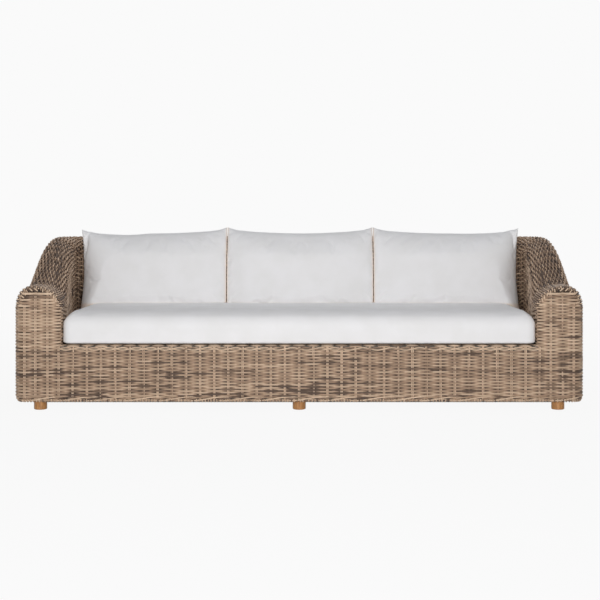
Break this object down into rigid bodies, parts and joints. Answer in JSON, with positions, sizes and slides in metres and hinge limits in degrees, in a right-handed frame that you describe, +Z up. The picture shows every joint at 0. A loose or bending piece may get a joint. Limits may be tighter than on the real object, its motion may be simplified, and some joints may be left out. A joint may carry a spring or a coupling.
{
  "type": "rattan garden sofa",
  "caption": "Long woven garden sofa with sweeping arms on round wooden feet, with a boxed seat cushion and loose pillow-style back cushions in pale cloth.",
  "frame": {"origin": "on the floor below the middle of the sofa's box", "axes": "+X along the sofa to the sitter's left, -Y is the front that a sitter faces out of, +Z up"},
  "size_m": [2.6, 0.95, 0.8346],
  "materials": {
    "woven_fibre": "matte",
    "teak": "satin",
    "frame_aluminium": "satin",
    "bolt_steel": "satin",
    "cushion_cloth": "matte",
    "cushion_foam": "matte",
    "zip_tape": "matte",
    "zip_metal": "satin"
  },
  "bodies": {
    "sofa": {"foot_front_left": "teak", "foot_bolt_front_left": "bolt_steel", "foot_front_centre": "teak", "foot_bolt_front_centre": "bolt_steel", "foot_front_right": "teak", "foot_bolt_front_right": "bolt_steel", "foot_rear_left": "teak", "foot_bolt_rear_left": "bolt_steel", "foot_rear_centre": "teak", "foot_bolt_rear_centre": "bolt_steel", "foot_rear_right": "teak", "foot_bolt_rear_right": "bolt_steel", "base_hoop": "frame_aluminium", "base_cross_rail_left": "frame_aluminium", "seat_post_front_left": "frame_aluminium", "seat_post_rear_left": "frame_aluminium", "base_cross_rail_centre": "frame_aluminium", "seat_post_front_centre": "frame_aluminium", "seat_post_rear_centre": "frame_aluminium", "base_cross_rail_right": "frame_aluminium", "seat_post_front_right": "frame_aluminium", "seat_post_rear_right": "frame_aluminium", "seat_rail_front": "frame_aluminium", "seat_rail_rear": "frame_aluminium", "seat_rail_left": "frame_aluminium", "seat_rail_right": "frame_aluminium", "seat_bearer_1": "frame_aluminium", "seat_bearer_2": "frame_aluminium", "seat_bearer_3": "frame_aluminium", "seat_bearer_4": "frame_aluminium", "seat_bearer_5": "frame_aluminium", "arm_arch_left": "frame_aluminium", "arm_arch_right": "frame_aluminium", "arm_rail_left": "frame_aluminium", "arm_rail_right": "frame_aluminium", "back_rail": "frame_aluminium", "back_post_1": "frame_aluminium", "back_post_2": "frame_aluminium", "back_post_3": "frame_aluminium", "left_arm_weave": "woven_fibre", "right_arm_weave": "woven_fibre", "back_weave": "woven_fibre", "front_apron_weave": "woven_fibre", "seat_deck_weave": "woven_fibre"},
    "seat_cushion": {"seat_cushion_cover": "cushion_cloth", "seat_cushion_filling": "cushion_foam", "seat_cushion_zip": "zip_tape"},
    "seat_cushion_zip_slider_body": {"seat_cushion_zip_slider": "zip_metal"},
    "back_cushion_left": {"back_cushion_left_cover": "cushion_cloth", "back_cushion_left_filling": "cushion_foam", "back_cushion_left_zip": "zip_tape"},
    "back_cushion_left_zip_slider_body": {"back_cushion_left_zip_slider": "zip_metal"},
    "back_cushion_centre": {"back_cushion_centre_cover": "cushion_cloth", "back_cushion_centre_filling": "cushion_foam", "back_cushion_centre_zip": "zip_tape"},
    "back_cushion_centre_zip_slider_body": {"back_cushion_centre_zip_slider": "zip_metal"},
    "back_cushion_right": {"back_cushion_right_cover": "cushion_cloth", "back_cushion_right_filling": "cushion_foam", "back_cushion_right_zip": "zip_tape"},
    "back_cushion_right_zip_slider_body": {"back_cushion_right_zip_slider": "zip_metal"}
  },
  "joints": [
    {"name": "seat_cushion_lift", "type": "slide", "parent": "sofa", "child": "seat_cushion", "axis": [0, 0, 1], "range_m": [0, 0.5]},
    {"name": "back_cushion_left_lift", "type": "slide", "parent": "seat_cushion", "child": "back_cushion_left", "axis": [0, 0, 1], "range_m": [0, 0.4]},
    {"name": "back_cushion_centre_lift", "type": "slide", "parent": "seat_cushion", "child": "back_cushion_centre", "axis": [0, 0, 1], "range_m": [0, 0.4]},
    {"name": "back_cushion_right_lift", "type": "slide", "parent": "seat_cushion", "child": "back_cushion_right", "axis": [0, 0, 1], "range_m": [0, 0.4]},
    {"name": "seat_cushion_zip_pull", "type": "slide", "parent": "seat_cushion", "child": "seat_cushion_zip_slider_body", "axis": [-1, 0, 0], "range_m": [0, 1.68]},
    {"name": "back_cushion_left_zip_pull", "type": "slide", "parent": "back_cushion_left", "child": "back_cushion_left_zip_slider_body", "axis": [-1, 0, 0], "range_m": [0, 0.38]},
    {"name": "back_cushion_centre_zip_pull", "type": "slide", "parent": "back_cushion_centre", "child": "back_cushion_centre_zip_slider_body", "axis": [-1, 0, 0], "range_m": [0, 0.38]},
    {"name": "back_cushion_right_zip_pull", "type": "slide", "parent": "back_cushion_right", "child": "back_cushion_right_zip_slider_body", "axis": [-1, 0, 0], "range_m": [0, 0.38]}
  ]
}
